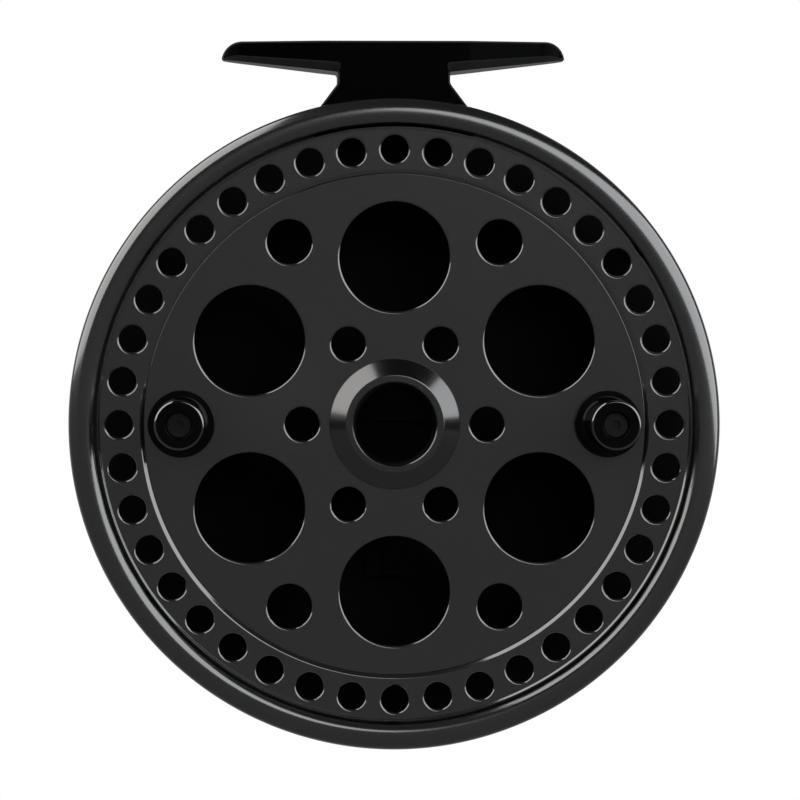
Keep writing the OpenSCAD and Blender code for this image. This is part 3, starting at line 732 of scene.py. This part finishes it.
def make_back_plate(finish):
    """The back plate: a dish with a raised rim, a boss round the spindle, and its holes."""
    skin = Skin()
    outer, inner = PLATE_HIGH[0], PLATE_HIGH[0] - size("rim_width")
    boss, wall = 1, 2.4
    back, lip = PLATE_LOW[2] + boss, PLATE_HIGH[2]
    floor = back + wall
    spindle_hole, screw_hole, drag_hole, drag_seat = 3.03, 1.03, 3.05, 4
    count = 384
    back_loop, lip_outer = skin.carry(
        rounded([(outer - 0.54, back), (outer, back), (outer, lip), (outer - 0.3, lip)],
                [0, 0.5, size("edge_radius"), 0], 6),
        turn_about(count),
    )
    lip_inner, floor_loop = skin.carry(
        rounded([(inner + 0.3, lip), (inner, lip), (inner, floor), (inner - 0.4, floor)],
                [0, size("edge_radius"), 0.2, 0], 3),
        turn_about(count),
    )
    bore_front, boss_loop = skin.carry(
        rounded([(3.2, floor), (spindle_hole, floor), (spindle_hole, back - boss),
                 (9.6, back - boss), (10.6, back), (11, back)],
                [0, 0.05, 0.05, 0.3, 0.4, 0], 4),
        turn_about(96),
    )
    rim_middle = outer - size("rim_width") / 2
    angles = np.radians([35, 80, 100, 145, 215, 270, 325])
    screw_places = np.stack([np.cos(angles), np.sin(angles)], 1) * rim_middle
    screws = [
        skin.carry(
            rounded([(1.2, lip), (screw_hole, lip), (screw_hole, back + 0.6), (1.6, back),
                     (1.63, back)],
                    [0, 0.04, 0.04, 0.02, 0], 1),
            turn_about(28, centre),
        )
        for centre in screw_places
    ]
    drag_up = (DRAG_LOW[1] + DRAG_HIGH[1]) / 2
    drag = skin.carry(
        rounded([(3.2, floor), (drag_hole, floor), (drag_hole, back + 1), (drag_seat, back + 1),
                 (drag_seat, back), (4.2, back)], [0, 0.04, 0.04, 0.04, 0.04, 0], 1),
        turn_about(48, (0, drag_up)),
    )
    half_w, low, high = 1.85, -23.2, -16.0
    slot = divided(
        rounded([(half_w, low), (half_w, high), (-half_w, high), (-half_w, low)], 0.3, 4,
                closed=True), 1.0,
    )
    check = skin.carry(
        rounded([(0.2, floor), (0, floor), (0, back), (0.2, back)], [0, 0.05, 0.05, 0], 1), slot
    )
    skin.flat(1, lip_outer, lip_inner, *[hole[0] for hole in screws])
    skin.flat(1, floor_loop, bore_front, drag[0], check[0])
    skin.flat(-1, back_loop, boss_loop, drag[1], check[1], *[hole[1] for hole in screws])
    # The dish's inner faces take the darker matt material: painted shade
    skin.put(
        "back_dish", "frame", "anodised_frame", finish, "back_plate",
        inside=(inner + 0.05, back + 0.9, lip - 0.3),
    )


def make_drag_knob(finish):
    """The drag knob: a fluted rim on a plain stem.

    radius = profile - depth x clip(1.5 cos(flutes x angle) - 0.2, 0 to 1)^2, the depth fading
    over the shoulder towards the flats.
    """
    skin = Skin()
    up = (DRAG_LOW[1] + DRAG_HIGH[1]) / 2
    outer, head, shoulder, stem_radius = 5.45, 5.5, 1.2, 1.6
    flutes, depth, spokes = 20, 0.38, 400
    head_back, head_front, stem_front = DRAG_LOW[2], DRAG_LOW[2] + head, DRAG_HIGH[2]
    angle = np.arange(spokes)[:, None] * math.tau / spokes
    line, square = rounded(
        [(outer - shoulder, head_back), (outer, head_back), (outer, head_front),
         (outer - shoulder, head_front)], [0, 0.45, 0.3, 0], 4,
    )
    wave = np.clip(np.cos(angle * flutes) * 1.5 - 0.2, 0, 1) ** 2
    lean = np.gradient(wave[:, 0], math.tau / spokes)[:, None] * depth / outer
    weight = np.clip((line[:, 0] - outer + shoulder) / 0.7, 0, 1)[None, :]
    radius = line[None, :, 0] - depth * wave * weight
    radial = square[None, :, 0]
    cosine, sine = np.cos(angle), np.sin(angle)
    turned = lean * weight * radial
    points = np.stack(
        [radius * cosine, up + radius * sine, line[None, :, 1] + 0 * radius], -1
    )
    normals = np.stack(
        [radial * cosine - turned * sine, radial * sine + turned * cosine,
         square[None, :, 1] + 0 * radius], -1,
    )
    index = skin.grid(points, normals)
    rim = index[:, 0], index[:, -1]
    stem = skin.carry(
        rounded([(stem_radius + 0.2, head_front), (stem_radius, head_front),
                 (stem_radius, stem_front), (1.3, stem_front)], [0, 0.05, 0.1, 0], 2),
        turn_about(48, (0, up)),
    )
    skin.flat(-1, rim[0])
    skin.flat(1, rim[1], stem[0])
    skin.flat(1, stem[1])
    skin.put("drag_wheel", "drag", "control_black", finish, "drag_knob")


def dress_frame():
    """Gives every CAD node that shows as it is the finish of its slot in the record."""
    slots = {part["node"]: part["material_slot"] for part in frame["record"]["subparts"]}
    for name, node in frame["nodes"].items():
        for position in range(len(node.material_slots)):
            node.material_slots[position].material = finish_of(slots[name])


# ---- Stage ----

# Where the camera stands, in degrees and metres, its lens in millimetres, and where it aims
VIEW_AZIMUTH, VIEW_ELEVATION = -1.65, 0.35
VIEW_DISTANCE = 0.8
VIEW_LENS = 205.5
AIM = Vector((0.0009, -0.012, AXIS_Z + 0.0042))
# Brightness of the world for all but the camera, gloss and glass
WORLD_DIM = 0.25
# The floor's distance under the axis, half its side, and where it starts and ends fading out
FLOOR_DROP, FLOOR_HALF, FADE_START, FADE_END = 0.2, 0.6, 0.08, 0.55
# Radius of the tent, its brightness in front and below, overhead, and what it gains behind
TENT_RADIUS, TENT_LEVEL, TENT_TOP, TENT_BEHIND = 3.0, 0.125, 0.015, 0.22


def direction(azimuth, elevation):
    """From the reel towards a place at these angles: azimuth 0 is straight in front."""
    a, e = math.radians(azimuth), math.radians(elevation)
    return Vector((math.sin(a) * math.cos(e), -math.cos(a) * math.cos(e), math.sin(e)))


def soft_box(name, start, end, across, height, power, tone):
    """A long soft box between two places, (x, up, out) in metres from the reel's axis.

    It runs from start to end, stands height tall along across, and faces the reel.
    """
    start, end, across = (Vector((p[0], -p[2], p[1])) for p in (start, end, across))
    centre = (start + end) / 2
    along = (end - start).normalized()
    upward = (across - along * across.dot(along)).normalized()
    away = along.cross(upward)
    if away.dot(centre) < 0:
        upward, away = -upward, -away
    lamp = bpy.data.lights.new(name, "AREA")
    lamp.shape, lamp.size, lamp.size_y = "RECTANGLE", (end - start).length, height
    lamp.energy, lamp.color = power, tone
    made = bpy.data.objects.new(name, lamp)
    made.location = centre + Vector((0, 0, AXIS_Z))
    made.rotation_euler = Matrix((along, upward, away)).transposed().to_euler()
    made.visible_camera = False
    bpy.context.scene.collection.objects.link(made)


def make_world():
    """White background for the camera and for reflections; dim light for everything else."""
    world = bpy.data.worlds.new("studio")
    bpy.context.scene.world = world
    world.use_nodes = True
    tree = world.node_tree
    tree.nodes.clear()
    path = add(tree, "ShaderNodeLightPath").outputs
    seen = add(tree, "ShaderNodeMath", {0: path["Is Camera Ray"], 1: path["Is Glossy Ray"]},
               operation="MAXIMUM").outputs[0]
    seen = add(tree, "ShaderNodeMath", {0: seen, 1: path["Is Transmission Ray"]},
               operation="MAXIMUM").outputs[0]
    white = add(tree, "ShaderNodeBackground", {"Color": (1, 1, 1, 1), "Strength": 1.0})
    dim = add(tree, "ShaderNodeBackground", {"Color": (1, 1, 1, 1), "Strength": WORLD_DIM})
    mixed = add(tree, "ShaderNodeMixShader",
                {0: seen, 1: dim.outputs[0], 2: white.outputs[0]})
    add(tree, "ShaderNodeOutputWorld", {"Surface": mixed.outputs[0]})


def make_floor():
    """A plain pale floor under the reel, that keeps its shadow and fades out round it."""
    half, drop = FLOOR_HALF, AXIS_Z - FLOOR_DROP
    mesh = bpy.data.meshes.new("floor")
    corners = [(-half, -half, drop), (half, -half, drop), (half, half, drop), (-half, half, drop)]
    mesh.from_pydata(corners, [], [(0, 1, 2, 3)])
    material = bpy.data.materials.new("matt_white_paper")
    material.use_nodes = True
    tree = material.node_tree
    tree.nodes.clear()
    paper = add(tree, "ShaderNodeBsdfPrincipled",
                {"Base Color": linear("#E6E6E6"), "Roughness": 0.9}).outputs["BSDF"]
    place = add(tree, "ShaderNodeTexCoord").outputs["Object"]
    away = add(tree, "ShaderNodeVectorMath", {0: place, 1: (0, 0, drop)},
               operation="DISTANCE").outputs["Value"]
    fade = add(tree, "ShaderNodeMapRange",
               {"Value": away, "From Min": FADE_START, "From Max": FADE_END},
               interpolation_type="SMOOTHSTEP").outputs["Result"]
    clear = add(tree, "ShaderNodeBsdfTransparent").outputs[0]
    mixed = add(tree, "ShaderNodeMixShader", {0: fade, 1: paper, 2: clear})
    add(tree, "ShaderNodeOutputMaterial", {"Surface": mixed.outputs[0]})
    mesh.materials.append(material)
    floor = bpy.data.objects.new("floor", mesh)
    floor.visible_glossy = False
    bpy.context.scene.collection.objects.link(floor)


def make_flag():
    """A cloth tent round the set, that gloss shows between the lamps.

    A sphere: rows go from the point in front to the one behind, columns go round the view.
    The cloth is dark grey below, black above and paler behind.
    """
    rows, columns = 24, 48
    polar = np.radians(np.linspace(0.2, 179.8, rows))[:, None]
    around = (np.arange(columns) * math.tau / columns)[None, :]
    points = np.stack(
        [np.sin(polar) * np.cos(around), -np.cos(polar) + 0 * around,
         np.sin(polar) * np.sin(around)], -1,
    ).reshape(-1, 3) * TENT_RADIUS + [0, 0, AXIS_Z]
    index = np.arange(rows * columns).reshape(rows, columns)
    index = np.hstack([index, index[:, :1]])
    quads = np.stack([index[:-1, :-1], index[1:, :-1], index[1:, 1:], index[:-1, 1:]], -1)
    mesh = bpy.data.meshes.new("flag")
    mesh.from_pydata(points.tolist(), [], quads.reshape(-1, 4).tolist())
    material = bpy.data.materials.new("dark_tent_cloth")
    material.use_nodes = True
    tree = material.node_tree
    tree.nodes.clear()
    place = add(tree, "ShaderNodeTexCoord").outputs["Object"]
    place = add(tree, "ShaderNodeSeparateXYZ", {0: place}).outputs
    front = add(
        tree, "ShaderNodeMapRange",
        {"Value": place["Z"], "From Min": AXIS_Z + 0.3, "From Max": AXIS_Z + 1.05,
         "To Min": TENT_LEVEL, "To Max": TENT_TOP},
    ).outputs["Result"]
    behind = add(
        tree, "ShaderNodeMapRange",
        {"Value": place["Y"], "From Min": 0.6, "From Max": 2.8, "To Min": 0.0,
         "To Max": TENT_BEHIND},
    ).outputs["Result"]
    glow = add(
        tree, "ShaderNodeMath", {0: front, 1: behind}, operation="ADD"
    ).outputs[0]
    cloth = add(tree, "ShaderNodeEmission", {"Strength": glow})
    add(tree, "ShaderNodeOutputMaterial", {"Surface": cloth.outputs["Emission"]})
    mesh.materials.append(material)
    flag = bpy.data.objects.new("flag", mesh)
    flag.visible_camera = False
    flag.visible_shadow = False
    flag.visible_diffuse = False
    bpy.context.scene.collection.objects.link(flag)


def make_camera():
    """The camera, in front of the reel and a little to its left and above."""
    lens = bpy.data.cameras.new("camera")
    lens.lens, lens.sensor_width = VIEW_LENS, 36
    camera = bpy.data.objects.new("camera", lens)
    towards = direction(VIEW_AZIMUTH, VIEW_ELEVATION)
    camera.location = AIM + towards * VIEW_DISTANCE
    camera.rotation_euler = (-towards).to_track_quat("-Z", "Y").to_euler()
    bpy.context.scene.collection.objects.link(camera)
    bpy.context.scene.camera = camera


def make_stage():
    """World, floor, tent, lamps, camera and the plain view transform."""
    bpy.context.scene.view_settings.view_transform = "Standard"
    make_world()
    make_floor()
    make_flag()
    soft_box("right_soft_box", (0.56, 0.165, -0.06), (0.04, 0.62, 2.48), (-0.09, 0.985, -0.11),
             0.5, 10.5, (0.95, 0.98, 1.0))
    soft_box("left_soft_box", (-0.495, 0.415, -0.25), (-0.614, 0.519, 1.15), (0.52, 0.62, 0),
             0.81, 9.1, (1.0, 0.985, 0.96))
    make_camera()


# ---- Add-on ----

MATERIALS = {}


def finish_of(slot):
    """A finish by its slot, all of them being made on first use."""
    if not MATERIALS:
        MATERIALS.update(finishes())
    return MATERIALS[slot]


class REEL_OT_front_ring(bpy.types.Operator):
    """Build the front ring with its rounded bead"""
    bl_idname = "reel.front_ring"
    bl_label = "Front ring"

    def execute(self, context):
        make_front_ring(finish_of("anodised_frame"))
        return {"FINISHED"}


class REEL_OT_back_plate(bpy.types.Operator):
    """Build the back plate with its boss and holes"""
    bl_idname = "reel.back_plate"
    bl_label = "Back plate"

    def execute(self, context):
        make_back_plate(finish_of("anodised_frame"))
        return {"FINISHED"}


class REEL_OT_foot(bpy.types.Operator):
    """Build the rod foot with its bevelled wings"""
    bl_idname = "reel.foot"
    bl_label = "Rod foot"

    def execute(self, context):
        make_foot(finish_of("black_foot"))
        return {"FINISHED"}


class REEL_OT_spool(bpy.types.Operator):
    """Build the perforated drum and the face plate"""
    bl_idname = "reel.spool"
    bl_label = "Spool"

    def execute(self, context):
        make_spool_drum(finish_of("anodised_spool"))
        make_spool_face(finish_of("anodised_spool"))
        return {"FINISHED"}


class REEL_OT_bezel(bpy.types.Operator):
    """Build the hub's bezel ring"""
    bl_idname = "reel.bezel"
    bl_label = "Hub bezel"

    def execute(self, context):
        make_bezel(finish_of("black_bezel"))
        return {"FINISHED"}


class REEL_OT_knobs(bpy.types.Operator):
    """Build the two winding knobs"""
    bl_idname = "reel.knobs"
    bl_label = "Knobs"

    def execute(self, context):
        make_knobs(finish_of("gloss_knob"))
        return {"FINISHED"}


class REEL_OT_drag_knob(bpy.types.Operator):
    """Build the fluted drag knob"""
    bl_idname = "reel.drag_knob"
    bl_label = "Drag knob"

    def execute(self, context):
        make_drag_knob(finish_of("control_black"))
        return {"FINISHED"}


class REEL_OT_finishes(bpy.types.Operator):
    """Give every remaining piece of the frame its finish"""
    bl_idname = "reel.finishes"
    bl_label = "Finishes"

    def execute(self, context):
        dress_frame()
        return {"FINISHED"}


class REEL_OT_stage(bpy.types.Operator):
    """Set up the floor, the lamps and the camera"""
    bl_idname = "reel.stage"
    bl_label = "Stage"

    def execute(self, context):
        make_stage()
        return {"FINISHED"}


OPERATORS = (
    REEL_OT_front_ring, REEL_OT_back_plate, REEL_OT_foot, REEL_OT_spool, REEL_OT_bezel,
    REEL_OT_knobs, REEL_OT_drag_knob, REEL_OT_finishes, REEL_OT_stage,
)


class REEL_PT_panel(bpy.types.Panel):
    """Lists the reel's pieces, sizes and colours"""
    bl_idname = "REEL_PT_panel"
    bl_label = "Centrepin reel"
    bl_space_type = "VIEW_3D"
    bl_region_type = "UI"
    bl_category = "Reel"

    def draw(self, context):
        for operator in OPERATORS:
            self.layout.operator(operator.bl_idname)
        for group in (context.scene.reel_sizes, context.scene.reel_colours):
            box = self.layout.box()
            for name in group.bl_rna.properties.keys():
                if name not in ("rna_type", "name"):
                    box.prop(group, name)


CLASSES = (ReelSizes, ReelColours, *OPERATORS, REEL_PT_panel)


def register():
    for cls in CLASSES:
        bpy.utils.register_class(cls)
    bpy.types.Scene.reel_sizes = bpy.props.PointerProperty(type=ReelSizes)
    bpy.types.Scene.reel_colours = bpy.props.PointerProperty(type=ReelColours)


def unregister():
    del bpy.types.Scene.reel_sizes
    del bpy.types.Scene.reel_colours
    for cls in reversed(CLASSES):
        bpy.utils.unregister_class(cls)


def main():
    register()
    bpy.ops.reel.front_ring()
    bpy.ops.reel.back_plate()
    bpy.ops.reel.foot()
    bpy.ops.reel.spool()
    bpy.ops.reel.bezel()
    bpy.ops.reel.knobs()
    bpy.ops.reel.drag_knob()
    bpy.ops.reel.finishes()
    bpy.ops.reel.stage()


if __name__ == "__main__":
    main()
